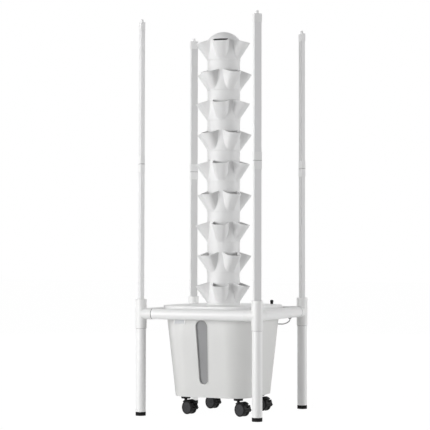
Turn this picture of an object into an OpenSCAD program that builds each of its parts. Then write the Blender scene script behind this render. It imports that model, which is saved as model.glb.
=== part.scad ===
// Hydroponic tower garden: planting tiers stacked over a wheeled water tank, inside a
// pipe stand that carries two light bars, end to end, on each of its corners.

/* [Stand] */
// distance between neighbouring leg axes
leg_spacing = 400; // [394:2:460]
// outside diameter of the leg pipes
leg_od = 32; // [30:0.5:34]
// outside diameter of the rails, which slip over the tees' spigots
rail_od = 34; // [32:0.5:35]
// wall of the leg pipes and rails
pipe_wall = 2.2; // [1.6:0.1:3]
// outside diameter of the corner tees
tee_od = 36; // [35.5:0.5:40]
// height of the tees' lower edge above the floor
tee_low = 277; // [250:1:290]
// height of a corner tee
tee_h = 93; // [88:1:110]
// tee axis to the end face of a branch
branch_len = 37; // [34:1:45]
// height of the foot caps that shows below the legs
foot_h = 15; // [12:1:25]

/* [Light bars] */
// length of one light bar with its end caps
bar_len = 456; // [380:2:520]
// width of a light bar
bar_w = 24; // [20:0.5:25]
// depth of a light bar
bar_d = 12; // [10:0.5:13]
// length of an end cap
cap_h = 20; // [14:1:30]
// height of the plug on the upper bar's end cap
tip_h = 10; // [6:1:16]

/* [Tank] */
// height of the tank's underside, carried by the casters
tank_low = 58; // [56:1:64]
// height of the tank from its underside to its rim
tank_h = 284; // [274:1:290]
// half the distance between the axes of the tank's rounded corners
core = 67; // [60:1:69]
// corner radius at the tank's underside
r_low = 66; // [60:0.5:70]
// corner radius at the tank's rim
r_rim = 98; // [90:0.5:100]
// wall of the tank
tank_wall = 3; // [2.4:0.1:4]
// overhang of the lid past the tank's corner radius at the rim
lid_over = 8; // [7:0.5:10]
// sideways place of the level window on the front wall
window_x = -7; // [-20:1:20]

/* [Tower] */
// number of planting tiers is fixed at nine, this is the step from one to the next
tier_step = 99.3; // [94:0.1:115]
// turn of the tower's pockets about its axis
tower_turn = -4.3; // [-36:0.1:36]
// outside radius of the plain tube under each tier
tube_r = 53.5; // [50:0.5:56]
// wall of the tiers
tier_wall = 2.4; // [2:0.1:3]
// reach of the pocket lips from the tower's axis
lip_reach = 92.5; // [88:0.5:96]
// height of the lip tips above the tier's foot ring
lip_h = 54; // [50:1:58]
// outside radius of a pocket
pocket_r = 25; // [23:0.2:27]
// height of the top cap above its seat
dome_h = 29; // [22:1:36]

/* [Casters] */
// wheel radius
wheel_r = 21.5; // [20:0.5:22.5]
// distance from the swivel axis to the axle
trail = 16; // [13:0.5:18]
// place of the casters along both sides of the tank, from its middle
caster_pos = 92; // [85:1:98]
// way that the casters trail, turned from the X axis
caster_yaw = -20; // [-180:5:180]

/* [Fits] */
// gap at each side between pieces that are pushed together
fit = 0.15; // [0.05:0.05:0.25]
// gap at each side of a shaft in its bearing
run = 0.05; // [0.02:0.01:0.09]
// gap between pieces that move past each other
free_gap = 0.4; // [0.3:0.05:0.6]

/* [Hidden] */
$fn = 64;
half = leg_spacing / 2;
socket = 26;
groove = 0.8;
foot_plug = 18;
foot_floor = 6;
tee_top = tee_low + tee_h;
rail_z = tee_low + tee_h / 2;
branch_od = tee_od - 0.6;
spigot_od = rail_od - 2 * pipe_wall - 2 * fit;
spigot_len = 24;
way_d = 20;
bush_floor = 2;
bar_low = tee_top - socket + bush_floor;
bar_wall = 1.4;
cap_wall = 1;
cap_floor = 3;
plug_d = 6;
diffuser_t = 2.8;
diffuser_proud = 0.8;
slope = (r_rim - r_low) / tank_h;
lean = atan(slope);
tank_floor = 3.5;
tank_top = tank_low + tank_h;
rim_out = 3;
skirt_t = 3;
skirt_h = 5;
r_lid = r_rim + lid_over;
lid_t = 6.5;
crown_t = 1.5;
lid_plate = 3.5;
lid_top = tank_top + lid_t + crown_t;
collar_h = 5;
tower_z = lid_top + collar_h;
ring_r = tube_r + 1;
collar_r = ring_r + 2.5;
bore_r = tube_r - tier_wall;
lip_drop = 12.5;
seat_h = lip_h + lip_drop;
spigot_h = 12;
spigot_r = bore_r - 2 * fit;
tier_z = [for (k = [0:8]) tower_z + k * tier_step];
lip_slope = (lip_drop + free_gap) / (lip_reach - ring_r);
pocket_lean = atan((lip_reach - tube_r + free_gap) / lip_h);
pocket_run = lip_h / cos(pocket_lean);
pocket_rise = 30;
top_z = tier_z[8] + seat_h;
dome_r = (tube_r * tube_r + dome_h * dome_h) / (2 * dome_h);
pump_z = tank_low + tank_floor + 5;
pump_top = pump_z + 46;
outlet_h = 18;
shaft_z = pump_z + 22;
riser_r = 10;
riser_bore = 8.2;
riser_top = tier_z[8] + 40;
window_top = 305;
window_low = 100;
window_r1 = 20;
window_r2 = 14.7;
window_sink = 5;
window_edge = 5;
plug_x = 123;
plug_y = 119;
plug_hole_r = 3.8;
axle_r = 3;
stem_r = 3;
web = 4.7;
wheel_in = web + free_gap;
wheel_out = 13.5;
fender_in = wheel_r + 0.8;
fender_out = wheel_r + 3.5;
flange_h = 9;
flange_low = tank_low - flange_h;
pin_r = 1.8;
pin_angle = 33;
pin_reach = wheel_r + 3.2;
fender_from = 48;
fender_to = 132;
neck_to = 138;
lead_r = 2;
grommet_hole = 3.6;
lead_drop = 59;
lead_z = tank_top - lead_drop;
lead_angle = 48;
lead_y = 85;
lead_along = half + lead_y;
grommet_out = 2.5;
lead_points = [
    [200, 85, 304], [199.3, 85.7, 299.8], [196, 89, 296], [190, 95, 292.5],
    [182.5, 103.5, 289.5], [174.5, 114, 287.4], [166.5, 125.5, 285.6], [158.5, 137, 284],
    [150.5, 144.8, 283], [142.5, 147, 282.8], [135.4, 143, 283], [129.8, 136.8, 283]
];
lead_last = len(lead_points) - 1;
rail_end = [half, lead_y, rail_z - rail_od / 2 - grommet_out];
lead_hole_r = r_low + slope * (lead_z - tank_low);
tank_end = [core, core, lead_z]
    + (lead_hole_r + grommet_out) * [cos(lead_angle), sin(lead_angle), 0];
lead_route = [for (i = [0:lead_last]) lead_points[i]
    + (1 - i / lead_last) * (rail_end - lead_points[0])
    + i / lead_last * (tank_end - lead_points[lead_last])];

// corner i of the stand, counted from the front left, with both branches along +X and +Y
module corner(i) {
    rotate([0, 0, 90 * i]) translate([-half, -half, 0]) children();
}

// the same corner turned so that +Y looks at the tower
module bar_frame(i) {
    corner(i) rotate([0, 0, -45]) children();
}

module pipe(od, wall, h) {
    difference() {
        cylinder(d = od, h = h);
        translate([0, 0, -1]) cylinder(d = od - 2 * wall, h = h + 2);
    }
}

// leg pipe from its foot cap to the stop in the tee's lower socket
module leg(i) {
    color("#f2f2f0") corner(i) translate([0, 0, foot_h])
        pipe(leg_od, pipe_wall, tee_low + socket - foot_h);
}

// round bar with both of its edges chamfered
module chamfered(d, h) {
    rotate_extrude() polygon([
        [0, 0], [d / 2 - groove, 0], [d / 2, groove], [d / 2, h - groove], [d / 2 - groove, h], [0, h]
    ]);
}

// four-way corner tee: two sockets on the upright and two spigots for the rails
module tee(i) {
    color("#f4f4f2") corner(i) translate([0, 0, rail_z]) difference() {
        union() {
            translate([0, 0, -tee_h / 2]) chamfered(tee_od, tee_h);
            rotate([0, 90, 0]) chamfered(branch_od, branch_len);
            rotate([-90, 0, 0]) chamfered(branch_od, branch_len);
            rotate([0, 90, 0]) cylinder(d = spigot_od, h = branch_len + spigot_len);
            rotate([-90, 0, 0]) cylinder(d = spigot_od, h = branch_len + spigot_len);
        }
        translate([0, 0, -tee_h / 2 - 1]) cylinder(d = leg_od + 2 * fit, h = socket + 1);
        translate([0, 0, tee_h / 2 - socket]) cylinder(d = leg_od + 2 * fit, h = socket + 1);
        translate([0, 0, -tee_h / 2]) cylinder(d = way_d, h = tee_h);
        rotate([0, 90, 0]) cylinder(d = way_d - 1, h = branch_len + spigot_len + 1);
        rotate([-90, 0, 0]) cylinder(d = way_d - 1, h = branch_len + spigot_len + 1);
    }
}

// rail between two tees, chamfered where it meets them; the right one has a hole below for the link lead
module rail(i) {
    long = leg_spacing - 2 * branch_len;
    color("#f0f0ee") corner(i) difference() {
        translate([branch_len, 0, rail_z]) rotate([0, 90, 0]) difference() {
            chamfered(rail_od, long);
            translate([0, 0, -1]) cylinder(d = rail_od - 2 * pipe_wall, h = long + 2);
        }
        if (i == 1) {
            translate([lead_along, 0, rail_z - rail_od]) cylinder(r = grommet_hole, h = rail_od);
        }
    }
}

// ribbed cap under each leg, with a plug inside the pipe
module foot_caps() {
    color("#1c1c1d") for (i = [0:3]) corner(i) difference() {
        union() {
            cylinder(d = leg_od + 0.6, h = foot_h);
            cylinder(d = leg_od - 2 * pipe_wall - 2 * fit, h = foot_h + foot_plug);
        }
        for (k = [0:19]) rotate([0, 0, 18 * k])
            translate([leg_od / 2 - 0.5, -0.8, 2.5]) cube([2, 1.6, foot_h - 5]);
        translate([0, 0, foot_floor]) cylinder(d = leg_od - 2 * pipe_wall - 6, h = foot_h + foot_plug);
    }
}

// bush in the tee's top socket, with the slot that holds the lower bar
module bar_bushes() {
    color("#eeeeec") for (i = [0:3]) bar_frame(i) translate([0, 0, tee_top - socket]) difference() {
        cylinder(d = leg_od, h = socket);
        translate([0, 0, bush_floor + socket / 2])
            cube([bar_w + 2 * cap_wall + 2 * fit, bar_d + 2 * cap_wall + 2 * fit, socket], center = true);
        translate([0, 0, -1]) cylinder(d = plug_d + 2 * fit, h = socket);
    }
}

// both bars of each corner, with their lower ends at z = 0 of the children
module each_bar() {
    for (i = [0:3]) bar_frame(i) for (n = [0:1])
        translate([0, 0, bar_low + n * bar_len]) children();
}

// channel of a light bar, open towards the tower, with a ledge for the diffuser
module bar_housings() {
    inner = bar_w - 2 * bar_wall;
    seat = bar_d / 2 + diffuser_proud - diffuser_t;
    color("#f1f1f0") each_bar() translate([0, 0, cap_floor]) linear_extrude(bar_len - 2 * cap_floor)
        difference() {
            square([bar_w, bar_d], center = true);
            translate([-inner / 2, seat]) square([inner, bar_d]);
            translate([-inner / 2 + 1.2, -bar_d / 2 + bar_wall]) square([inner - 2.4, bar_d]);
        }
}

// strip of lamps on the floor of each channel
module lamp_strips() {
    color("#e9e4c8") each_bar() translate([0, -bar_d / 2 + bar_wall, cap_floor + 4]) {
        translate([-8, 0, 0]) cube([16, 1.4, bar_len - 2 * cap_floor - 8]);
    }
}

// diffuser that closes each channel
module diffusers() {
    wide = bar_w - 2 * bar_wall - 2 * fit;
    color("#d9d9d6") each_bar()
        translate([-wide / 2, bar_d / 2 + diffuser_proud - diffuser_t, cap_h + free_gap])
            cube([wide, diffuser_t, bar_len - 2 * cap_h - 2 * free_gap]);
}

// end cap with a plug on the lower end of each bar
module plug_end_caps() {
    color("#efefed") each_bar() {
        bar_cap();
        translate([0, 0, -8]) cylinder(d = plug_d, h = 8 + cap_floor);
    }
}

// end cap with the socket for the next plug on the upper end of each bar
module socket_end_caps() {
    color("#efefed") each_bar() translate([0, 0, bar_len]) difference() {
        mirror([0, 0, 1]) bar_cap();
        translate([0, 0, -cap_floor - 1]) cylinder(d = plug_d + 2 * fit, h = cap_floor + 2);
    }
}

// cup that both kinds of end cap have, open upwards
module bar_cap() {
    difference() {
        translate([-bar_w / 2 - cap_wall, -bar_d / 2 - cap_wall, 0])
            cube([bar_w + 2 * cap_wall, bar_d + 2 * cap_wall, cap_h]);
        translate([-bar_w / 2 - fit, -bar_d / 2 - fit, cap_floor])
            cube([bar_w + 2 * fit, bar_d + 2 * fit, cap_h]);
    }
}

// plug that closes the socket on top of each column
module tip_plugs() {
    color("#ececea") for (i = [0:3]) bar_frame(i) translate([0, 0, bar_low + 2 * bar_len]) {
        cylinder(d = 10, h = tip_h - 1.5);
        translate([0, 0, tip_h - 1.5]) cylinder(d1 = 10, d2 = 8, h = 1.5);
        translate([0, 0, -cap_floor]) cylinder(d = plug_d, h = cap_floor);
    }
}

// block with a square plan and round corners, its corner radius going from ra to rb
module block(ra, rb, h) {
    side = [[-core - ra, 0], [core + ra, 0], [core + rb, h], [-core - rb, h]];
    for (x = [-core, core]) for (y = [-core, core])
        translate([x, y, 0]) cylinder(r1 = ra, r2 = rb, h = h);
    translate([0, core, 0]) rotate([90, 0, 0]) linear_extrude(2 * core) polygon(side);
    translate([-core, 0, 0]) rotate([90, 0, 90]) linear_extrude(2 * core) polygon(side);
}

// outline of the level window: a slot with round ends, wider at the top, grown by e
module window_outline(e) {
    ra = window_r1 + e;
    rb = window_r2 + e;
    ya = (window_top - window_low) / 2 - window_r1;
    yb = window_r2 - (window_top - window_low) / 2;
    k = asin((ra - rb) / (ya - yb));
    polygon(concat(arc_points(ya, ra, -k, 180 + k), arc_points(yb, rb, 180 + k, 360 - k)));
}

function arc_points(y, r, a, b) = [for (i = [0:16]) [0, y] + r * aim(a + (b - a) * i / 16)];
function aim(a) = [cos(a), sin(a)];

// the front wall's outer face at the middle of the window, +Z looking outwards
module on_front() {
    zm = (window_top + window_low) / 2;
    translate([window_x, -core - r_low - slope * (zm - tank_low), zm]) rotate([90 + lean, 0, 0]) children();
}

// the rounded corner's outer face where the lead goes in, +Z looking outwards
module at_lead_hole() {
    translate([core, core, lead_z]) rotate([0, 0, lead_angle])
        translate([lead_hole_r, 0, 0]) rotate([0, 90, 0]) children();
}

// tapered tank with a rim, the window's opening and frame, and bosses for the casters
module tank() {
    color("#e6e6e3") difference() {
        union() {
            difference() {
                union() {
                    translate([0, 0, tank_low]) block(r_low, r_rim, tank_h);
                    translate([0, 0, tank_top - skirt_h]) block(r_rim + rim_out, r_rim + rim_out, skirt_h);
                }
                translate([0, 0, tank_low + tank_floor]) block(
                    r_low + slope * tank_floor - tank_wall,
                    r_rim + slope - tank_wall,
                    tank_h - tank_floor + 1
                );
            }
            on_front() translate([0, 0, -window_sink]) linear_extrude(window_sink + 1) window_outline(2.5);
            for (k = [0:3]) at_caster(k) translate([0, 0, tank_low + 1]) cylinder(r = 9, h = 15);
        }
        on_front() translate([0, 0, -window_sink - 5]) linear_extrude(window_sink + 10) window_outline(0);
        at_lead_hole() translate([0, 0, -10]) cylinder(r = grommet_hole, h = 20);
        for (k = [0:3]) at_caster(k) translate([0, 0, tank_low - 1]) cylinder(r = stem_r, h = 14);
    }
}

// pane that closes the window from inside, sunk behind its frame
module window_pane() {
    color("#9c9d9e") on_front() translate([0, 0, -window_sink - 2]) linear_extrude(2) window_outline(2.5);
}

// lid with a skirt over the tank's rim, a rim inside it, a slight crown and the tower's collar
module lid() {
    inner = r_rim - tank_wall;
    lid_cut = tank_top - skirt_h - 1;
    color("#f0f0ee") difference() {
        union() {
            translate([0, 0, tank_top - skirt_h]) block(r_lid, r_lid, skirt_h + lid_t - 1.5);
            translate([0, 0, tank_top + lid_t - 1.5]) block(r_lid, r_lid - 1.5, 1.5);
            translate([0, 0, tank_top + lid_t]) block(r_lid - 2.5, r_lid - 30, crown_t);
            translate([0, 0, lid_top - 1]) cylinder(r1 = collar_r, r2 = collar_r - 1.5, h = collar_h + 1);
        }
        difference() {
            translate([0, 0, lid_cut]) block(r_lid - skirt_t, r_lid - skirt_t, tank_top - lid_cut);
            translate([0, 0, lid_cut]) block(inner - 1.2, inner - 1.2, tank_top - lid_cut);
        }
        translate([0, 0, lid_cut]) block(inner - 4, inner - 4, lid_top - lid_plate - lid_cut);
        translate([0, 0, lid_cut]) cylinder(r = tube_r + 2 * fit, h = tower_z + 1 - lid_cut);
        translate([plug_x, plug_y, lid_cut]) cylinder(r = plug_hole_r, h = tower_z + 1 - lid_cut);
    }
}

// black plug in the lid's filling hole
module fill_plug() {
    color("#141414") translate([plug_x, plug_y, lid_top]) rotate_extrude() polygon([
        [0, -11], [2.6, -11], [plug_hole_r - free_gap, -9], [plug_hole_r - free_gap, 0],
        [4.6, 0], [4.6, 4], [5.5, 5.5], [5.5, 10.5], [4.6, 12.6], [2.6, 13.7], [0, 14]
    ]);
}

// one planting tier: plain tube below, foot ring, and five leaning pockets that open inwards
module tier(k) {
    color("#eeeeec") translate([0, 0, tier_z[k]]) rotate([0, 0, tower_turn + 36 * (k % 2)]) difference() {
        union() {
            cylinder(r = ring_r, h = seat_h);
            translate([0, 0, seat_h - tier_step]) cylinder(r = tube_r, h = tier_step - seat_h + 1);
            translate([0, 0, seat_h - tier_step - spigot_h]) cylinder(r = spigot_r, h = spigot_h + 1);
            for (p = [0:4]) rotate([0, 0, 72 * p]) pocket(pocket_r, pocket_run, pocket_rise);
        }
        translate([0, 0, seat_h - tier_step + 3]) cylinder(r = bore_r, h = tier_step + spigot_h);
        translate([0, 0, seat_h]) cylinder(r = tube_r + free_gap, h = spigot_h);
        translate([0, 0, seat_h - tier_step - spigot_h - 1])
            cylinder(r = spigot_r - tier_wall, h = spigot_h + 5);
        for (p = [0:4]) rotate([0, 0, 72 * p])
            pocket(pocket_r - tier_wall, pocket_run + 6, 2 * pocket_rise);
        translate([0, 0, lip_h]) difference() {
            cylinder(r = lip_reach + pocket_r, h = tier_step);
            translate([0, 0, -1])
                cylinder(r1 = lip_reach + 1 / lip_slope, r2 = 1, h = 1 + (lip_reach - 1) * lip_slope);
        }
    }
}

// leaning cylinder whose lower wall passes through the lip tip, from below to above that height
module pocket(r, below, above) {
    shift = pocket_r * cos(pocket_lean);
    translate([lip_reach - shift, 0, lip_h + pocket_r * sin(pocket_lean)]) rotate([0, pocket_lean, 0])
        translate([0, 0, -below]) cylinder(r = r, h = below + above);
}

// domed cap with a skirt inside the top tier
module top_cap() {
    color("#ececea") translate([0, 0, top_z]) {
        difference() {
            intersection() {
                translate([0, 0, dome_h - dome_r]) sphere(r = dome_r);
                cylinder(r = tube_r + 1, h = dome_h + 1);
            }
            translate([0, 0, dome_h - dome_r]) sphere(r = dome_r - 2.2);
        }
        difference() {
            translate([0, 0, -spigot_h]) cylinder(r = spigot_r, h = spigot_h + 1.8);
            translate([0, 0, -spigot_h - 1]) cylinder(r = spigot_r - tier_wall, h = spigot_h + 4);
        }
    }
}

// riser pipe from the pump's outlet to the distributor
module riser_pipe() {
    color("#dcdcda") translate([0, 0, pump_top])
        pipe(2 * riser_r, riser_r - riser_bore, riser_top - pump_top);
}

// dish on the riser that lets the water fall into the tiers
module distributor() {
    color("#e2e2e0") translate([0, 0, riser_top]) difference() {
        union() {
            translate([0, 0, -12]) cylinder(r = riser_r + 3, h = 16);
            translate([0, 0, 4]) cylinder(r = 34, h = 10);
        }
        translate([0, 0, -13]) cylinder(r = riser_r + fit, h = 13);
        translate([0, 0, -1]) cylinder(r = 6, h = 10);
        translate([0, 0, 6.5]) cylinder(r = 32, h = 10);
        for (k = [0:9]) rotate([0, 0, 36 * k]) translate([27, 0, 0]) cylinder(r = 1.6, h = 20);
    }
}

// pump housing with the impeller chamber, the shaft's bearing and the outlet
module pump_housing() {
    color("#2a2b2d") difference() {
        union() {
            translate([-34, -22, pump_z]) cube([56, 44, 46]);
            translate([0, 0, pump_top]) cylinder(r = riser_bore - fit, h = outlet_h);
        }
        translate([-4, 0, shaft_z]) rotate([0, 90, 0]) cylinder(r = 14, h = 40);
        translate([-16, 0, shaft_z]) rotate([0, 90, 0]) cylinder(r = 1.5 + run, h = 20);
        translate([3, 0, shaft_z]) cylinder(r = 5.5, h = pump_top + outlet_h + 1 - shaft_z);
    }
}

// slotted cover over the pump's inlet, with the shaft's outer bearing
module inlet_strainer() {
    color("#232425") difference() {
        union() {
            translate([22, -20, pump_z + 2]) cube([9, 40, 40]);
            translate([19, 0, shaft_z]) rotate([0, 90, 0]) pipe(27, 1.5, 4);
        }
        for (k = [-3:3]) if (k != 0) translate([21, 5 * k - 1.25, pump_z + 8]) cube([12, 2.5, 28]);
        translate([18, 0, shaft_z]) rotate([0, 90, 0]) cylinder(r = 1.5 + run, h = 9);
    }
}

// impeller with four vanes on its shaft
module impeller() {
    color("#5a5c60") translate([0, 0, shaft_z]) {
        translate([-14, 0, 0]) rotate([0, 90, 0]) cylinder(r = 1.5, h = 40);
        translate([-2, 0, 0]) rotate([0, 90, 0]) cylinder(r = 4.5, h = 18);
        for (k = [0:3]) rotate([90 * k, 0, 0]) translate([-1, -0.8, 3]) cube([16, 1.6, 9]);
    }
}

// suction cups between the pump and the tank's floor
module suction_cups() {
    color("#303132") for (x = [-24, 12]) for (y = [-13, 13])
        translate([x, y, tank_low + tank_floor])
            cylinder(r1 = 8, r2 = 5, h = pump_z - tank_low - tank_floor);
}

function unit(v) = v / norm(v);

// way the lead runs at point i of n, straight out of the grommets at both ends
function lead_aim(i, n) = i == 0 ? [0, 0, -1]
    : i == n - 1 ? [-cos(lead_angle), -sin(lead_angle), 0]
    : unit(lead_route[i + 1] - lead_route[i - 1]);
function lead_u(i, n) = unit(cross(lead_aim(i, n), [1, 1, 1.5]));
function lead_v(i, n) = cross(lead_aim(i, n), lead_u(i, n));

// thin lead from the rail's grommet to the tank's grommet
module link_lead() {
    n = len(lead_route);
    m = 8;
    ring = [for (i = [0:n - 1]) for (j = [0:m - 1])
        lead_route[i] + lead_r * (cos(360 * j / m) * lead_u(i, n) + sin(360 * j / m) * lead_v(i, n))];
    skin = [for (i = [0:n - 2]) for (j = [0:m - 1]) for (t = [0, 1])
        t == 0 ? [i * m + j, i * m + (j + 1) % m, (i + 1) * m + (j + 1) % m]
               : [i * m + j, (i + 1) * m + (j + 1) % m, (i + 1) * m + j]];
    start = [[for (j = [0:m - 1]) m - 1 - j]];
    end = [[for (j = [0:m - 1]) (n - 1) * m + j]];
    color("#b4b4b2") polyhedron(points = ring, faces = concat(skin, start, end));
}

// grommets where the lead leaves the rail and enters the tank
module lead_grommets() {
    color("#9a9a98") {
        corner(1) translate([lead_along, 0, rail_z - rail_od / 2]) difference() {
            union() {
                translate([0, 0, -grommet_out]) cylinder(r = 5, h = 5);
                translate([0, 0, -grommet_out]) cylinder(r = grommet_hole - fit, h = 7);
            }
            difference() {
                translate([-20, 0, rail_od / 2]) rotate([0, 90, 0]) cylinder(d = rail_od, h = 40);
                translate([0, 0, -4]) cylinder(r = grommet_hole - fit, h = 12);
            }
        }
        difference() {
            at_lead_hole() union() {
                translate([0, 0, grommet_out - 4]) cylinder(r = 5, h = 4);
                translate([0, 0, grommet_out - 7.5]) cylinder(r = grommet_hole - fit, h = 7.5);
            }
            difference() {
                translate([0, 0, tank_low]) block(r_low, r_rim, tank_h);
                at_lead_hole() translate([0, 0, -6]) cylinder(r = grommet_hole - fit, h = 10);
            }
        }
    }
}

// swivel axis of caster k, counted from the front left
module at_caster(k) {
    rotate([0, 0, 90 * k]) translate([-caster_pos, -caster_pos, 0])
        rotate([0, 0, caster_yaw - 90 * k]) children();
}

// flange under the tank that each caster swivels on
module caster_flanges() {
    color("#161617") for (k = [0:3]) at_caster(k) translate([0, 0, flange_low]) difference() {
        union() {
            cylinder(r1 = 14, r2 = 15, h = 1);
            translate([0, 0, 1]) cylinder(r = 15, h = flange_h - 1);
        }
        translate([0, 0, -1]) cylinder(r = stem_r, h = flange_h + 2);
    }
}

// steel stem through the flange into the tank's boss
module caster_stems() {
    color("#9b9da0") for (k = [0:3]) at_caster(k)
        translate([0, 0, wheel_r + 9]) cylinder(r = stem_r, h = tank_low + 12 - wheel_r - 9);
}

// slice of a ring about the axle, from angle a to angle b
module ring_slice(ri, ro, a, b) {
    mid = (a + b) / 2;
    intersection() {
        difference() {
            circle(r = ro);
            circle(r = ri);
        }
        polygon([[0, 0], 2 * ro * aim(a), 2 * ro * aim(mid), 2 * ro * aim(b)]);
    }
}

// children drawn in the plane of the wheels about the axle, spread over y0 to y1
module across(y0, y1) {
    translate([trail, y1, wheel_r]) rotate([90, 0, 0]) linear_extrude(y1 - y0) children();
}

// place of the pedal's pin about the axle
function pin_at() = pin_reach * [cos(pin_angle), sin(pin_angle)];

// hood: web between the wheels, neck on the stem, fender over the wheels and the pedal's clip
module hood(k) {
    color("#131314") at_caster(k) difference() {
        union() {
            across(-web, web) circle(r = wheel_r - 2);
            across(-web, web) ring_slice(4, fender_out - 0.3, pin_angle - 2, neck_to);
            across(-web, web) translate(pin_at()) circle(r = 3.4);
            across(-wheel_out, wheel_out) ring_slice(fender_in, fender_out, fender_from, fender_to);
            translate([0, 0, wheel_r + 8]) cylinder(r = web, h = flange_low - free_gap - wheel_r - 8);
        }
        translate([0, 0, wheel_r + 8.6]) cylinder(r = stem_r + run, h = 40);
        across(-web - 1, web + 1) circle(r = axle_r + run);
        across(-web - 1, web + 1) translate(pin_at()) circle(r = pin_r + run);
        across(-web - 1, web + 1) translate(pin_at()) rotate(pin_angle - 55)
            translate([0, -1.5]) square([9, 3]);
    }
}

// pair of wheels pressed on one axle
module wheels(k) {
    color("#1a1a1b") at_caster(k) translate([trail, 0, wheel_r]) for (s = [-1, 1])
        rotate([-90 * s, 0, 0]) rotate_extrude() polygon([
            [axle_r, wheel_in], [8, wheel_in], [8, 9], [wheel_r - 3.5, 9], [wheel_r - 3.5, wheel_in + 0.5],
            [wheel_r - 1, wheel_in + 0.5], [wheel_r, wheel_in + 1.5], [wheel_r, wheel_out - 1],
            [wheel_r - 1, wheel_out], [wheel_r - 4.2, wheel_out], [wheel_r - 5, wheel_out - 0.9],
            [5.4, wheel_out - 0.9], [4.6, wheel_out - 0.2], [0, wheel_out - 0.2], [0, wheel_out - 1.1],
            [axle_r, wheel_out - 1.1]
        ]);
}

module axle(k) {
    color("#a0a2a5") at_caster(k) translate([trail, 0, wheel_r]) rotate([90, 0, 0])
        cylinder(r = axle_r, h = 2 * (wheel_out - 1.1), center = true);
}

// brake pedal behind the wheels, clipped on the hood by its pin
module pedal(k) {
    color("#18181a") at_caster(k) {
        across(-wheel_out, wheel_out) pedal_tail();
        for (s = [-1, 1]) across(s > 0 ? web + free_gap : -wheel_out, s > 0 ? wheel_out : -web - free_gap) {
            ring_slice(wheel_r + 1.5, wheel_r + 4.5, 15, pin_angle);
            translate(pin_at()) circle(r = 2.4);
        }
        across(-web - 1, web + 1) translate(pin_at()) circle(r = pin_r);
    }
}

// side view of the pedal's tail, which comes to a point at axle height
module pedal_tail() {
    ring_slice(wheel_r + 1.5, wheel_r + 4.5, -12, 18);
    polygon([
        (wheel_r + 2) * [cos(10), sin(10)], (wheel_r + 2) * [cos(-11), sin(-11)],
        (wheel_r + 7.5) * [cos(-2), sin(-2)], (wheel_r + 4.4) * [cos(12), sin(12)]
    ]);
}

leg(0);  // leg_front_left
leg(1);  // leg_front_right
leg(2);  // leg_back_right
leg(3);  // leg_back_left
tee(0);  // tee_front_left
tee(1);  // tee_front_right
tee(2);  // tee_back_right
tee(3);  // tee_back_left
rail(0);  // rail_front
rail(1);  // rail_right
rail(2);  // rail_back
rail(3);  // rail_left
foot_caps();
bar_bushes();
bar_housings();
lamp_strips();
diffusers();
plug_end_caps();
socket_end_caps();
tip_plugs();
tank();
window_pane();
lid();
fill_plug();
tier(0);  // tier_1
tier(1);  // tier_2
tier(2);  // tier_3
tier(3);  // tier_4
tier(4);  // tier_5
tier(5);  // tier_6
tier(6);  // tier_7
tier(7);  // tier_8
tier(8);  // tier_9
top_cap();
riser_pipe();
distributor();
pump_housing();
inlet_strainer();
impeller();
suction_cups();
link_lead();
lead_grommets();
caster_flanges();
caster_stems();
hood(0);  // hood_front_left
hood(1);  // hood_front_right
hood(2);  // hood_back_right
hood(3);  // hood_back_left
wheels(0);  // wheels_front_left
wheels(1);  // wheels_front_right
wheels(2);  // wheels_back_right
wheels(3);  // wheels_back_left
axle(0);  // axle_front_left
axle(1);  // axle_front_right
axle(2);  // axle_back_right
axle(3);  // axle_back_left
pedal(0);  // pedal_front_left
pedal(1);  // pedal_front_right
pedal(2);  // pedal_back_right
pedal(3);  // pedal_back_left
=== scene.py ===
"""Hydroponic tower garden: planting tiers on a wheeled tank, inside a pipe stand with light bars.

Lengths are in metres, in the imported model's own frame: the front is -Y and the floor is z = 0.
"""
import math

import bmesh
import bpy
from mathutils import Matrix, Vector


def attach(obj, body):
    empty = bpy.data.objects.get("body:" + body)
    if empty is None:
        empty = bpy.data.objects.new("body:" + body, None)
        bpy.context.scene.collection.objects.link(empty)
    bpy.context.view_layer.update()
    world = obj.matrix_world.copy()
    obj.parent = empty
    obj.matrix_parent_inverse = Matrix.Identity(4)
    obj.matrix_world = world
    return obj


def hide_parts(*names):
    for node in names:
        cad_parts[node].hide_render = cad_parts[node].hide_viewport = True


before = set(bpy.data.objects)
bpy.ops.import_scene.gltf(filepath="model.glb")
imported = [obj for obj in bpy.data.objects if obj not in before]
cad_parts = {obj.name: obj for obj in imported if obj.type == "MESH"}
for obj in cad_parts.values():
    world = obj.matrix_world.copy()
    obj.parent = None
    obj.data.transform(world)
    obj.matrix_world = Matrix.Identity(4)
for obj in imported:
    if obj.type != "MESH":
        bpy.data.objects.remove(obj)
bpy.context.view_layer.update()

# Studio: a long lens a little above the tank, a pale floor and five soft lamps, with the key
# lamp at the left. Floor and sky look white, and the floor keeps a faint shadow.

scene = bpy.context.scene
scene.view_settings.view_transform = "Standard"

PHOTO_SIDE = 430
focal_px = 1342.3
sensor_side = 36.0
camera_turn = math.radians(23.5)
camera_pitch = math.radians(2.005)
camera_roll = math.radians(0.08)
camera_away = 4.3986
camera_height = 0.485
lens = bpy.data.cameras.new("studio_lens")
lens.sensor_width = sensor_side
lens.lens = sensor_side * focal_px / PHOTO_SIDE
lens.shift_x = -0.0200
lens.shift_y = 0.0027
camera = bpy.data.objects.new("studio_camera", lens)
camera_at = (camera_away * math.sin(camera_turn), -camera_away * math.cos(camera_turn), camera_height)
camera.matrix_world = (
    Matrix.Translation(camera_at)
    @ Matrix.Rotation(camera_turn, 4, "Z")
    @ Matrix.Rotation(math.pi / 2 + camera_pitch, 4, "X")
    @ Matrix.Rotation(camera_roll, 4, "Z")
)
scene.collection.objects.link(camera)
scene.camera = camera


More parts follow.
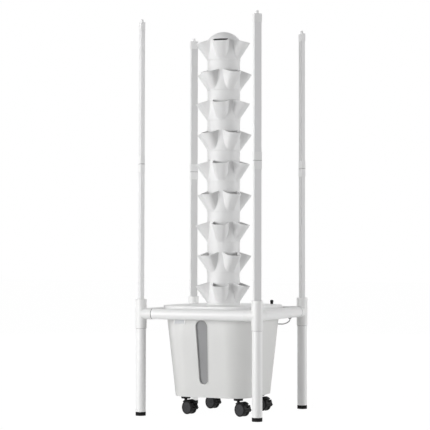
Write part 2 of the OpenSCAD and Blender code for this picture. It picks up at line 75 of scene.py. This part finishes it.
class Tone:
    """A socket of a finish: sums, products, powers and comparisons of it add Math nodes."""

    def __init__(self, shades, socket):
        self.shades = shades
        self.socket = socket

    def _with(self, operation, first, second):
        return self.shades.node("ShaderNodeMath", {"operation": operation}, {0: first, 1: second})

    def __add__(self, other):
        return self._with("ADD", self, other)

    def __sub__(self, other):
        return self._with("SUBTRACT", self, other)

    def __rsub__(self, other):
        return self._with("SUBTRACT", other, self)

    def __mul__(self, other):
        return self._with("MULTIPLY", self, other)

    def __pow__(self, other):
        return self._with("POWER", self, other)

    def __gt__(self, other):
        return self._with("GREATER_THAN", self, other)

    def __lt__(self, other):
        return self._with("LESS_THAN", self, other)

    __radd__ = __add__
    __rmul__ = __mul__


class Shades:
    """The node tree of a finish, with one method that adds any node."""

    def __init__(self, tree):
        self.tree = tree
        tree.nodes.clear()

    def node(self, kind, settings=(), inputs=(), output=0):
        made = self.tree.nodes.new(kind)
        for name, value in dict(settings).items():
            setattr(made, name, value)
        for name, value in dict(inputs).items():
            if isinstance(value, Tone):
                self.tree.links.new(value.socket, made.inputs[name])
            else:
                made.inputs[name].default_value = value
        return Tone(self, made.outputs[output]) if made.outputs else None


def seen_as_background(shades):
    """One where a ray comes straight from the eye, or by way of a mirror or glass."""
    kinds = ("Is Camera Ray", "Is Glossy Ray", "Is Transmission Ray")
    eye, mirror, glass = (shades.node("ShaderNodeLightPath", output=kind) for kind in kinds)
    return shades.node("ShaderNodeMath", {"operation": "MAXIMUM"}, {0: eye, 1: mirror + glass})


WHITE = (1, 1, 1, 1)
AIR_LIGHT = 0.22
scene.world = bpy.data.worlds.new("studio_air")
scene.world.use_nodes = True
sky = Shades(scene.world.node_tree)
sky_strength = AIR_LIGHT + (1 - AIR_LIGHT) * seen_as_background(sky)
sky_light = sky.node("ShaderNodeBackground", inputs={"Color": WHITE, "Strength": sky_strength})
sky.node("ShaderNodeOutputWorld", inputs={"Surface": sky_light})

FLOOR_WHITE = (0.88, 0.88, 0.88, 1)
floor_side = 60
glow_share = 0.97
glow_strength = 1.02
bpy.ops.object.select_all(action="DESELECT")
bpy.ops.mesh.primitive_plane_add(size=floor_side)
floor = bpy.context.object
floor.name = "studio_floor"
floor_paint = bpy.data.materials.new("floor_paint")
floor_paint.use_nodes = True
floor_shades = Shades(floor_paint.node_tree)
floor_matt = floor_shades.node("ShaderNodeBsdfDiffuse", inputs={"Color": FLOOR_WHITE})
floor_glow = floor_shades.node("ShaderNodeEmission", inputs={"Color": WHITE, "Strength": glow_strength})
glow_seen = glow_share * seen_as_background(floor_shades)
floor_mix = floor_shades.node("ShaderNodeMixShader", inputs={0: glow_seen, 1: floor_matt, 2: floor_glow})
floor_shades.node("ShaderNodeOutputMaterial", inputs={"Surface": floor_mix})
floor.data.materials.append(floor_paint)

lamp_aim = Vector((0, 0, 0.6))


def soft_lamp(name, turn, height, away, side, power, mirrored=True):
    """A square lamp at that turn from the front, aimed at the middle of the tower."""
    light = bpy.data.lights.new(name, "AREA")
    light.size = side
    light.energy = power
    lamp = bpy.data.objects.new(name, light)
    at = Vector((away * math.sin(math.radians(turn)), -away * math.cos(math.radians(turn)), height))
    facing = (at - lamp_aim).to_track_quat("Z", "Y")
    lamp.matrix_world = Matrix.Translation(at) @ facing.to_matrix().to_4x4()
    lamp.visible_glossy = mirrored
    scene.collection.objects.link(lamp)


soft_lamp("key_lamp", turn=-32, height=0.5, away=4.6, side=2.4, power=184)
soft_lamp("fill_lamp", turn=20, height=0.4, away=4.6, side=2.4, power=14, mirrored=False)
soft_lamp("side_lamp", turn=112, height=0.6, away=4.6, side=2.0, power=106)
soft_lamp("back_lamp", turn=200, height=1.6, away=4.6, side=2.4, power=55, mirrored=False)
soft_lamp("top_lamp", turn=-10, height=4.4, away=1.5, side=2.4, power=26, mirrored=False)

# Legs and rails: white extruded pipe, cut to length and pushed over spigots and into sockets.
# The die leaves faint lines along each pipe. The legs reach down to low foot caps, and a narrow
# band of painted shade shows where a pipe goes into its fitting.

CORNERS = ("front_left", "front_right", "back_right", "back_left")
PIPE_WHITE = (0.87, 0.87, 0.868)
# The near black below is painted shade in the joints of pipes and bars and in the slot under the top cap.
GAP_SHADE = (0.03, 0.03, 0.03, 1)
cloud_scale = 14.0
cloud_share = 0.75
skin_bump = 0.35
skin_depth = 0.00004
die_draw = 0.02
sharp_from = math.radians(35)
tee_foot = 0.277
branch_mouth = 0.159
# The three widths below set the bands of painted shade at the mouths of the fittings.
leg_mouth_shade = 0.0006
rail_mouth_shade = 0.0014
shade_hidden = 0.001
cad_foot = 0.015
foot_high = 0.012


def finish(name):
    """A new material and its empty node tree."""
    material = bpy.data.materials.new(name)
    material.use_nodes = True
    return material, Shades(material.node_tree)


def noise(shades, vector, scale, detail):
    """Cloudy noise between nought and one."""
    return shades.node("ShaderNodeTexNoise", inputs={"Vector": vector, "Scale": scale, "Detail": detail})


def mixed(shades, share, first, second, blend="MIX"):
    """A colour that goes from the first to the second as the share grows."""
    settings = {"data_type": "RGBA", "blend_type": blend}
    return shades.node("ShaderNodeMix", settings, {0: share, 6: first, 7: second}, output=2)


def grained(shades, height, strength, distance):
    """The normal of a skin with that grain."""
    inputs = {"Strength": strength, "Distance": distance, "Height": height}
    return shades.node("ShaderNodeBump", inputs=inputs)


def skinned(shades, colour, rough, normal, **sockets):
    """Ends a finish with its surface."""
    inputs = {"Base Color": colour, "Roughness": rough, "Normal": normal, **sockets}
    body = shades.node("ShaderNodeBsdfPrincipled", inputs=inputs)
    shades.node("ShaderNodeOutputMaterial", inputs={"Surface": body})


def mottled(shades, cloud, skin, dark, light):
    """A colour that shifts slowly, and a little with the grain, from dark to light."""
    return mixed(shades, cloud_share * cloud + (1 - cloud_share) * skin, (*dark, 1), (*light, 1))


def uneven_gloss(rough, cloud, skin):
    """Roughness that wanders about its middle with the clouds and the grain."""
    return rough - 0.08 + 0.12 * cloud + 0.06 * skin


def moulded(name, colour, rough, mottle=0.03, grain=1300.0, stretch=(1, 1, 1), shade_band=None, **sockets):
    """Plastic out of a mould or a die: a fine grain in the skin and slow shifts of shade and gloss.

    A shade band is an axis and the two places along it between which the skin is painted near black: painted
    shade in a joint, and in the slot under the top cap.
    """
    material, shades = finish(name)
    place = shades.node("ShaderNodeTexCoord", output="Object")
    drawn = shades.node("ShaderNodeMapping", inputs={"Vector": place, "Scale": stretch})
    cloud = noise(shades, drawn, scale=cloud_scale, detail=3.0)
    skin = noise(shades, drawn, scale=grain, detail=2.0)
    dark = [c * (1 - 2 * mottle) for c in colour]
    light = [min(1.0, c * (1 + mottle)) for c in colour]
    shade = mottled(shades, cloud, skin, dark, light)
    if shade_band:
        axis, start, end = shade_band
        along = shades.node("ShaderNodeSeparateXYZ", inputs={0: place}, output=axis)
        # Painted shade: near black between the two places of the band.
        shade = mixed(shades, (along > start) * (along < end), shade, GAP_SHADE)
    bump = grained(shades, skin, strength=skin_bump, distance=skin_depth)
    skinned(shades, shade, uneven_gloss(rough, cloud, skin), bump, **sockets)
    return material


def pipe(name, axis, start, end):
    """White pipe along that axis, with painted shade in a narrow band at the mouth of its fitting."""
    stretch = tuple(die_draw if axis == way else 1 for way in "XYZ")
    shade_band = (axis, start, end)
    return moulded(name, PIPE_WHITE, rough=0.34, mottle=0.012, grain=900, stretch=stretch, shade_band=shade_band)


def dress(material, *nodes):
    """Gives CAD nodes a finish."""
    for name in nodes:
        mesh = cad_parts[name].data
        mesh.materials.clear()
        mesh.materials.append(material)


def rounded_copy(node, body, material, edge):
    """A copy of a CAD node with merged vertices and rounded edges, which stands for the node."""
    piece = bpy.data.objects.new(f"{node}_moulding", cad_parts[node].data.copy())
    scene.collection.objects.link(piece)
    bpy.ops.object.select_all(action="DESELECT")
    piece.select_set(True)
    bpy.context.view_layer.objects.active = piece
    merge = piece.modifiers.new("merge", "WELD")
    merge.merge_threshold = 1e-6
    bpy.ops.object.modifier_apply(modifier=merge.name)
    rounding = piece.modifiers.new("rounding", "BEVEL")
    rounding.width = edge
    rounding.segments = 2
    rounding.limit_method = "ANGLE"
    rounding.angle_limit = sharp_from
    rounding.use_clamp_overlap = False
    bpy.ops.object.modifier_apply(modifier=rounding.name)
    bpy.ops.object.shade_smooth_by_angle(angle=sharp_from)
    even = piece.modifiers.new("even_shading", "WEIGHTED_NORMAL")
    even.keep_sharp = True
    bpy.ops.object.modifier_apply(modifier=even.name)
    piece.data.materials.clear()
    piece.data.materials.append(material)
    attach(piece, body)
    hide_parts(node)
    return piece


def shift_rim(piece, axis, place, by, reach):
    """Moves the vertices near that place on an axis, which lengthens or shortens the piece there."""
    for knot in piece.data.vertices:
        if abs(knot.co[axis] - place) < reach:
            knot.co[axis] += by


leg_pipe = pipe("leg_pipe", "Z", tee_foot - leg_mouth_shade, tee_foot + shade_hidden)
for corner in CORNERS:
    leg = rounded_copy(f"leg_{corner}", "garden", leg_pipe, edge=0.0004)
    shift_rim(leg, axis=2, place=cad_foot, by=foot_high - cad_foot, reach=0.001)
cross_pipe = pipe("cross_rail_pipe", "X", -branch_mouth - shade_hidden, rail_mouth_shade - branch_mouth)
dress(cross_pipe, "rail_front", "rail_back")
side_pipe = pipe("side_rail_pipe", "Y", branch_mouth - rail_mouth_shade, branch_mouth + shade_hidden)
dress(side_pipe, "rail_left", "rail_right")

# Tees: injection-moulded corner fittings with two sockets and two branches, a shade greyer
# than the pipes and with the finer gloss of a polished mould. Their edges are rounded and
# their branches reach a little further along the rails than in the CAD.

TEE_WHITE = (0.84, 0.84, 0.835)
cad_mouth = 0.163
tee_plastic = moulded("tee_plastic", TEE_WHITE, rough=0.38, mottle=0.015)
for corner in CORNERS:
    tee = rounded_copy(f"tee_{corner}", "garden", tee_plastic, edge=0.0006)
    for axis in (0, 1):
        for side in (-1, 1):
            shift_rim(tee, axis, side * cad_mouth, by=side * (branch_mouth - cad_mouth), reach=0.004)

# Foot caps: soft black rubber pushed into the legs, ribbed round the outside and scuffed
# grey where they rub on the floor. What shows of them is drawn lower than in the CAD.

FOOT_BLACK = (0.008, 0.008, 0.0085)
DUST_GREY = (0.16, 0.155, 0.145, 1)
scuffed_to = 0.006
rib_slack = 0.0005


def worn_black(name, colour, rough, scuff, high, disc=None):
    """Black rubber or nylon, dusty and scuffed below that height.

    A disc is the middle, the axis, the radius and the colour of the flat face of a wheel.
    """
    material, shades = finish(name)
    place = shades.node("ShaderNodeTexCoord", output="Object")
    height = shades.node("ShaderNodeSeparateXYZ", inputs={0: place}, output="Z")
    span = {"Value": height, 1: 0.0, 2: high, 3: 1.0, 4: 0.0}
    near_floor = shades.node("ShaderNodeMapRange", {"clamp": True}, span)
    patch = noise(shades, place, scale=160.0, detail=4.0)
    speck = noise(shades, place, scale=1500.0, detail=2.0)
    worn = near_floor * (patch ** 3.0) * (0.6 + 0.8 * speck)
    clean = (*colour, 1)
    if disc:
        middle, axle, radius, face = disc
        off = shades.node("ShaderNodeVectorMath", {"operation": "SUBTRACT"}, {0: place, 1: middle})
        far = shades.node("ShaderNodeVectorMath", {"operation": "LENGTH"}, {0: off}, output="Value")
        both = {0: off, 1: axle}
        along = shades.node("ShaderNodeVectorMath", {"operation": "DOT_PRODUCT"}, both, output="Value")
        clean = mixed(shades, far * far - along * along < radius ** 2, clean, (*face, 1))
    shade = mixed(shades, scuff * worn + 0.02 * patch, clean, DUST_GREY)
    gloss = rough - 0.05 + 0.15 * patch
    bump = grained(shades, speck, strength=0.4, distance=0.00006)
    skinned(shades, shade, gloss, bump, **{"Specular IOR Level": 0.12})
    return material


foot_rubber = worn_black("foot_rubber", FOOT_BLACK, rough=0.62, scuff=1.0, high=scuffed_to)
feet = rounded_copy("foot_caps", "garden", foot_rubber, edge=0.0003)
for knot in feet.data.vertices:
    if knot.co.z < cad_foot + rib_slack:
        knot.co.z *= foot_high / cad_foot

# Light bars: two channels end to end on each corner, each with a strip of lamps under a frosted
# cover and a cap at both ends. The lower cap stands in a bush in the tee, the top one is plugged.
# The caps are cups, drawn a little deeper than in the CAD, and a line of painted shade parts
# the two bars.

BAR_WHITE = (0.83, 0.83, 0.83)
# The grey of the bars' outward face is painted shade.
BAR_BACK_SHADE = (0.79, 0.79, 0.795)
BAR_WORN = (0.75, 0.75, 0.76, 1)
COVER_FROST = (0.70, 0.70, 0.70)
BOARD_YELLOW = (0.78, 0.74, 0.60)
bar_back_at = 0.4078
bar_joint = 0.802
bar_top = 1.258
joint_half = 0.0005
cup_depth = 0.020
cup_longer = 0.0065
cup_edge = 0.0007


def channel_with_shaded_back(name, flank, back, rough):
    """Extruded channel with white flanks, whose outward face is painted shade: a duller, brushed grey."""
    material, shades = finish(name)
    place = shades.node("ShaderNodeTexCoord", output="Object")
    drawn = shades.node("ShaderNodeMapping", inputs={"Vector": place, "Scale": (1, 1, die_draw)})
    line = noise(shades, drawn, scale=800.0, detail=2.0)
    cloud = noise(shades, place, scale=9.0, detail=3.0)
    x, y = (shades.node("ShaderNodeSeparateXYZ", inputs={0: place}, output=axis) for axis in "XY")
    out_x, out_y = (shades.node("ShaderNodeMath", {"operation": "ABSOLUTE"}, {0: way}) for way in (x, y))
    # Painted shade on the outward face.
    shade = mixed(shades, out_x + out_y > bar_back_at, (*flank, 1), (*back, 1))
    worn = mixed(shades, 0.10 * cloud + 0.08 * line, shade, BAR_WORN, blend="MULTIPLY")
    bump = grained(shades, line, strength=0.3, distance=0.00003)
    skinned(shades, worn, rough - 0.06 + 0.14 * line, bump)
    return material


bar_channel = channel_with_shaded_back("bar_channel", BAR_WHITE, BAR_BACK_SHADE, rough=0.42)
rounded_copy("bar_housings", "garden", bar_channel, edge=0.0006)
# A band of painted shade where the lower and upper bars meet.
joint_shade_line = ("Z", bar_joint - joint_half, bar_joint + joint_half)
cup_plastic = moulded("bar_cap_plastic", BAR_WHITE, rough=0.42, mottle=0.015, shade_band=joint_shade_line)
upper_cups = rounded_copy("plug_end_caps", "garden", cup_plastic, edge=cup_edge)
shift_rim(upper_cups, axis=2, place=bar_joint + cup_depth, by=cup_longer, reach=0.002)
lower_cups = rounded_copy("socket_end_caps", "garden", cup_plastic, edge=cup_edge)
for end in (bar_joint, bar_top):
    shift_rim(lower_cups, axis=2, place=end - cup_depth, by=-cup_longer, reach=0.002)
rounded_copy("tip_plugs", "garden", cup_plastic, edge=cup_edge)
rounded_copy("bar_bushes", "garden", cup_plastic, edge=cup_edge)
dress(moulded("lamp_board", BOARD_YELLOW, rough=0.5), "lamp_strips")
dress(moulded("frosted_cover", COVER_FROST, rough=0.34, mottle=0.012, stretch=(1, 1, 0.05)), "diffusers")

# Casters: twin nylon wheels on a steel axle under a hood that swivels on a stem, with a brake
# pedal at the back. Tread and hood are black, scuffed and dusty near the floor.

HOOD_BLACK = (0.005, 0.005, 0.0055)
TYRE_BLACK = (0.008, 0.008, 0.0085)
WHEEL_FACE = (0.05, 0.05, 0.053)
STEEL = (0.55, 0.56, 0.57)
wheel_face_r = 0.0175
caster_turn = math.radians(20)
axle_way = (math.sin(caster_turn), math.cos(caster_turn), 0)
hood_nylon = worn_black("hood_nylon", HOOD_BLACK, rough=0.42, scuff=0.5, high=0.03)
bright_steel = moulded("bright_steel", STEEL, rough=0.25, Metallic=1.0)
dress(hood_nylon, "caster_flanges")
dress(bright_steel, "caster_stems")
for corner in CORNERS:
    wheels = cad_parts[f"wheels_{corner}"]
    middle = sum((Vector(at) for at in wheels.bound_box), Vector()) / 8
    disc = (middle, axle_way, wheel_face_r, WHEEL_FACE)
    nylon = worn_black(f"wheel_nylon_{corner}", TYRE_BLACK, rough=0.5, scuff=0.6, high=0.01, disc=disc)
    dress(hood_nylon, f"hood_{corner}", f"pedal_{corner}")
    dress(nylon, f"wheels_{corner}")
    dress(bright_steel, f"axle_{corner}")

# Tank: a tapered polypropylene tub with round corners, moulded in one piece with the frame of
# its level window. A warm grey white with a soft satin skin.

TANK_WHITE = (0.715, 0.715, 0.705)
tank_plastic = moulded("tank_plastic", TANK_WHITE, rough=0.45, mottle=0.02, grain=700)
rounded_copy("tank", "garden", tank_plastic, edge=0.001)

# Plate: a plain moulded holder on the tank's front, high up at the left, with a raised white
# frame round a smooth grey panel. It is welded to the leaning wall and carries nothing.

PLATE_WHITE = (0.92, 0.92, 0.92)
PANEL_GREY = (0.66, 0.67, 0.69)
plate_size = Vector((0.041, 0.0024, 0.027))
plate_low = Vector((-0.082, 0, 0.2925))
plate_sunk = 0.0004
plate_edge = 0.0004
plate_border = 0.0042
panel_depth = 0.0012
panel_margin = 0.005
panel_reach = plate_size.x / 2 - panel_margin
faces_front = -0.9
tank_foot_z = 0.058
tank_foot_y = -0.133
wall_run = 0.032
wall_rise = 0.284
wall_lean = math.atan(wall_run / wall_rise)
wall_y = tank_foot_y - math.tan(wall_lean) * (plate_low.z - tank_foot_z)
bpy.ops.object.select_all(action="DESELECT")
bpy.ops.mesh.primitive_cube_add(size=1)
plate = bpy.context.object
plate.name = "front_plate"
plate.data.transform(Matrix.Diagonal((*plate_size, 1)))
plate.data.transform(Matrix.Translation((0, plate_sunk - plate_size.y / 2, plate_size.z / 2)))
bpy.ops.object.mode_set(mode="EDIT")
bpy.ops.mesh.select_mode(type="FACE")
bpy.ops.mesh.select_all(action="DESELECT")
plate_skin = bmesh.from_edit_mesh(plate.data)
for face in plate_skin.faces:
    face.select_set(face.normal.y < faces_front)
bmesh.update_edit_mesh(plate.data)
bpy.ops.mesh.inset(thickness=plate_border)
bpy.ops.mesh.extrude_region_move(TRANSFORM_OT_translate={"value": (0, panel_depth, 0)})
bpy.ops.object.mode_set(mode="OBJECT")
plate_rounding = plate.modifiers.new("rounding", "BEVEL")
plate_rounding.width = plate_edge
plate_rounding.segments = 2
bpy.ops.object.modifier_apply(modifier=plate_rounding.name)
on_wall = Matrix.Translation((plate_low.x, wall_y, plate_low.z))
plate.data.transform(on_wall @ Matrix.Rotation(wall_lean, 4, "X"))
plate.data.materials.append(moulded("plate_white", PLATE_WHITE, rough=0.35, mottle=0.01))
plate.data.materials.append(moulded("plate_panel", PANEL_GREY, rough=0.28, mottle=0.02))
for face in plate.data.polygons:
    inside = abs(face.center.x - plate_low.x) < panel_reach and face.normal.y < faces_front
    face.material_index = int(inside)
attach(plate, "garden")

# Level window: a pane of smoked plastic, set in its frame from behind. It shows how much water
# is left in the tank.

SMOKE = (0.30, 0.30, 0.305)
dress(moulded("smoke_pane", SMOKE, rough=0.2, mottle=0.04), "window_pane")

# Pump and riser: a black submersible pump on suction cups, with a slotted strainer, a small
# impeller, and the pipe that lifts the water to a dish under the top cap.

PUMP_BLACK = (0.020, 0.020, 0.022)
ROTOR_GREY = (0.10, 0.105, 0.115)
CUP_BLACK = (0.025, 0.025, 0.026)
RISER_WHITE = (0.70, 0.70, 0.69)
dress(moulded("pump_plastic", PUMP_BLACK, rough=0.5), "pump_housing", "inlet_strainer")
dress(moulded("rotor_plastic", ROTOR_GREY, rough=0.4), "impeller")
dress(moulded("cup_rubber", CUP_BLACK, rough=0.7), "suction_cups")
dress(moulded("riser_plastic", RISER_WHITE, rough=0.4, stretch=(1, 1, die_draw)), "riser_pipe", "distributor")

# Link lead: a thin PVC low-voltage lead, 4 mm thick, that feeds the pump in the tank. It drops
# out of a grommet under the right rail, sags between stand and tank and goes into the tank.

LEAD_GREY = (0.52, 0.52, 0.51)
GROMMET_GREY = (0.30, 0.30, 0.29)
lead_r = 0.002
lead_route = [
    (0.2, 0.085, 0.304), (0.1993, 0.0857, 0.2998), (0.196, 0.089, 0.296), (0.19, 0.095, 0.2925),
    (0.1825, 0.1035, 0.2895), (0.1745, 0.114, 0.2874), (0.1665, 0.1255, 0.2856), (0.1585, 0.137, 0.284),
    (0.1505, 0.1448, 0.283), (0.1425, 0.147, 0.2828), (0.1354, 0.143, 0.283), (0.1298, 0.1368, 0.283),
]
lead_curve = bpy.data.curves.new("pump_lead", "CURVE")
lead_curve.dimensions = "3D"
lead_curve.bevel_depth = lead_r
lead_curve.bevel_resolution = 4
lead_curve.resolution_u = 8
lead_curve.use_fill_caps = True
lead_line = lead_curve.splines.new("BEZIER")
lead_line.bezier_points.add(len(lead_route) - 1)
for knot, at in zip(lead_line.bezier_points, lead_route):
    knot.co = at
    knot.handle_left_type = "AUTO"
    knot.handle_right_type = "AUTO"
lead = bpy.data.objects.new("pump_lead", lead_curve)
scene.collection.objects.link(lead)
lead_curve.materials.append(moulded("lead_sheath", LEAD_GREY, rough=0.5, grain=2200.0))
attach(lead, "garden")
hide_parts("link_lead")
dress(moulded("grommet_rubber", GROMMET_GREY, rough=0.6), "lead_grommets")

# Lid and filling plug: a flat white lid with a faint crown and the collar that carries the tower.
# The plug is black rubber, with a knob to pull it by.

LID_WHITE = (0.88, 0.88, 0.878)
PLUG_BLACK = (0.006, 0.006, 0.006)
lid_plastic = moulded("lid_plastic", LID_WHITE, rough=0.45, mottle=0.015)
rounded_copy("lid", "garden", lid_plastic, edge=0.0007)
plug_rubber = moulded("plug_rubber", PLUG_BLACK, rough=0.4, **{"Specular IOR Level": 0.15})
rounded_copy("fill_plug", "plug", plug_rubber, edge=0.0005)

# Planting tiers: nine blow-moulded shells with five leaning pockets each, turned half a pocket
# from one to the next and pushed together by their spigots. White outside, with painted shade in the bore.

TIERS = 9
POCKETS = 5
TOWER_WHITE = (0.80, 0.80, 0.80)
# The bore's dark grey is painted shade inside the tower.
BORE_SHADE = (0.05, 0.05, 0.05)
tier_step = 0.0993
tower_foot = 0.355
tower_turn = math.radians(-4.3)
tube_r = 0.0535
ring_r = 0.0545
ring_low = 0.0002
bore_r = 0.0511
bore_step = 0.003
shade_within = 0.0495
spigot_r = 0.0508
spigot_bore = 0.0484
spigot_h = 0.012
seam_depth = 0.0009
seam_low = 0.001
seam_lip = 0.0014
lip_reach = 0.0925
lip_h = 0.054
lip_rise = 0.0129
lip_slope = lip_rise / (lip_reach - ring_r)
seat_h = 0.0665
tube_sink = 0.004
pocket_r = 0.025
pocket_wall = 0.0024
pocket_flare = 0.12
flare_from = 0.052
pocket_full = 2.7
pocket_root = 0.0531
pocket_lean = math.atan((lip_reach - pocket_root) / lip_h)
pocket_x = lip_reach - pocket_r * math.cos(pocket_lean)
pocket_z = lip_h + pocket_r * math.sin(pocket_lean)
crease = 0.0022
rim_edge = 0.0007
outer_steps = 28
inner_steps = 14
pocket_halvings = 24
rim_passes = 12
turn_degrees = 360  # a tier has one side to each degree
tier_sharp_from = math.radians(40)


def skin_radius(angle, height, core, cup):
    """Radius of a tier's skin: its round core or a pocket of that radius, blended along the crease.

    Across the tower a pocket has a full, flattened front and two straight sides back to the core.
    """
    sector = 2 * math.pi / POCKETS
    off = abs((angle + sector / 2) % sector - sector / 2)
    middle = pocket_x + (height - pocket_z) * math.tan(pocket_lean)
    length = cup / math.cos(pocket_lean)
    width = cup + pocket_flare * (height - flare_from)
    pocket = middle / math.cos(off)
    if pocket * math.sin(off) >= width:
        pocket = width / math.sin(off)
    else:
        beyond = (middle + length) / math.cos(off)
        for _ in range(pocket_halvings):
            half_way = (pocket + beyond) / 2
            ahead = max(half_way * math.cos(off) - middle, 0) / length
            aside = half_way * math.sin(off) / width
            if ahead ** pocket_full + aside ** pocket_full < 1:
                pocket = half_way
            else:
                beyond = half_way
    near = max(crease - abs(pocket - core), 0) / crease
    return max(core, pocket) + near * near * crease / 4


def skin_top(angle, core, cup):
    """Radius and height at which a tier's skin meets the cone of its rim."""
    height = seat_h
    for _ in range(rim_passes):
        radius = skin_radius(angle, height, core, cup)
        height = min(seat_h, lip_h + (lip_reach - radius) * lip_slope)
    return radius, height


def tier_profile(angle):
    """Section of a tier at that angle: up the outside, over the rim and down the inside."""
    foot = seat_h - tier_step
    seam_r = tube_r - seam_depth
    points = [(spigot_r, foot - spigot_h), (spigot_r, foot - tube_sink), (tube_r, foot - tube_sink)]
    points += [(tube_r, -seam_lip), (seam_r, -seam_low), (seam_r, 0.0), (ring_r, ring_low)]
    inner_cup = pocket_r - pocket_wall
    outer, outer_top = skin_top(angle, ring_r, pocket_r)
    inner, inner_top = skin_top(angle, bore_r, inner_cup)
    for step in range(1, outer_steps + 1):
        height = ring_low + (outer_top - rim_edge - ring_low) * step / outer_steps
        points.append((skin_radius(angle, height, ring_r, pocket_r), height))
    for turn in (math.pi / 4, math.pi / 2):
        drop = rim_edge * (1 - math.sin(turn))
        points.append((outer - rim_edge * (1 - math.cos(turn)), outer_top - drop))
    for turn in (math.pi / 2, math.pi / 4):
        drop = rim_edge * (1 - math.sin(turn))
        points.append((inner + rim_edge * (1 - math.cos(turn)), inner_top - drop))
    for step in range(inner_steps, -1, -1):
        height = (inner_top - rim_edge) * step / inner_steps
        points.append((skin_radius(angle, height, bore_r, inner_cup), height))
    points += [(bore_r, foot + bore_step), (spigot_bore, foot + bore_step), (spigot_bore, foot - spigot_h)]
    return points


rings = len(tier_profile(0.0))
bpy.ops.object.select_all(action="DESELECT")
bpy.ops.mesh.primitive_cylinder_add(
    vertices=turn_degrees, radius=1, depth=rings - 1, end_fill_type="NOTHING"
)
tier_mould = bpy.context.object
bpy.ops.object.mode_set(mode="EDIT")
bpy.ops.mesh.select_mode(type="EDGE")
bpy.ops.mesh.select_all(action="DESELECT")
tier_skin = bmesh.from_edit_mesh(tier_mould.data)
for side in tier_skin.edges:
    side.select_set(abs(side.verts[0].co.z - side.verts[1].co.z) > 0.5)
bmesh.update_edit_mesh(tier_mould.data)
bpy.ops.mesh.subdivide(number_cuts=rings - 2)
bpy.ops.mesh.select_all(action="DESELECT")
bpy.ops.mesh.select_non_manifold()
bpy.ops.mesh.bridge_edge_loops()
bpy.ops.object.mode_set(mode="OBJECT")
sections = {}
for knot in tier_mould.data.vertices:
    angle = math.atan2(knot.co.y, knot.co.x)
    degree = round(math.degrees(angle)) % (turn_degrees // POCKETS)
    if degree not in sections:
        sections[degree] = tier_profile(angle)
    radius, height = sections[degree][round(knot.co.z + (rings - 1) / 2)]
    knot.co = (radius * math.cos(angle), radius * math.sin(angle), height)
bpy.ops.object.mode_set(mode="EDIT")
bpy.ops.mesh.select_all(action="SELECT")
bpy.ops.mesh.normals_make_consistent(inside=False)
bpy.ops.object.mode_set(mode="OBJECT")
bpy.ops.object.shade_smooth_by_angle(angle=tier_sharp_from)


def tower_plastic(name, colour, bore_shade, rough):
    """Matt white plastic, a little mottled, with painted shade in the bore of the tower."""
    material, shades = finish(name)
    place = shades.node("ShaderNodeTexCoord", output="Object")
    x, y = (shades.node("ShaderNodeSeparateXYZ", inputs={0: place}, output=axis) for axis in "XY")
    cloud = noise(shades, place, scale=cloud_scale, detail=3.0)
    skin = noise(shades, place, scale=1000.0, detail=2.0)
    dark = [0.96 * c for c in colour]
    light = [1.02 * c for c in colour]
    white = mottled(shades, cloud, skin, dark, light)
    # Painted shade inside the bore.
    shade = mixed(shades, x * x + y * y < shade_within ** 2, white, (*bore_shade, 1))
    bump = grained(shades, skin, strength=skin_bump, distance=skin_depth)
    skinned(shades, shade, uneven_gloss(rough, cloud, skin), bump)
    return material


tier_mould.data.materials.append(tower_plastic("tier_plastic", TOWER_WHITE, BORE_SHADE, rough=0.5))
for level in range(TIERS):
    tier = bpy.data.objects.new(f"planting_tier_{level + 1}", tier_mould.data.copy())
    scene.collection.objects.link(tier)
    turned = Matrix.Rotation(tower_turn + math.pi / POCKETS * (level % 2), 4, "Z")
    tier.data.transform(Matrix.Translation((0, 0, tower_foot + level * tier_step)) @ turned)
    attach(tier, "garden")
    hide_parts(f"tier_{level + 1}")
bpy.data.objects.remove(tier_mould)

# Top cap: a shallow dome on the ninth tier, held by a skirt inside it and lifted off for
# cleaning. It is moulded in white plastic like the tiers; its skirt is painted shade, near black.

DOME_WHITE = (0.81, 0.81, 0.815)
skirt_reach = 0.03
skirt_over = 0.0002
cap_foot = tower_foot + (TIERS - 1) * tier_step + seat_h
# The skirt's near black is painted shade in the slot under the dome.
skirt_shade = ("Z", cap_foot - skirt_reach, cap_foot + skirt_over)
dome_plastic = moulded("top_cap_plastic", DOME_WHITE, rough=0.5, mottle=0.02, grain=1000, shade_band=skirt_shade)
rounded_copy("top_cap", "cap", dome_plastic, edge=0.0006)
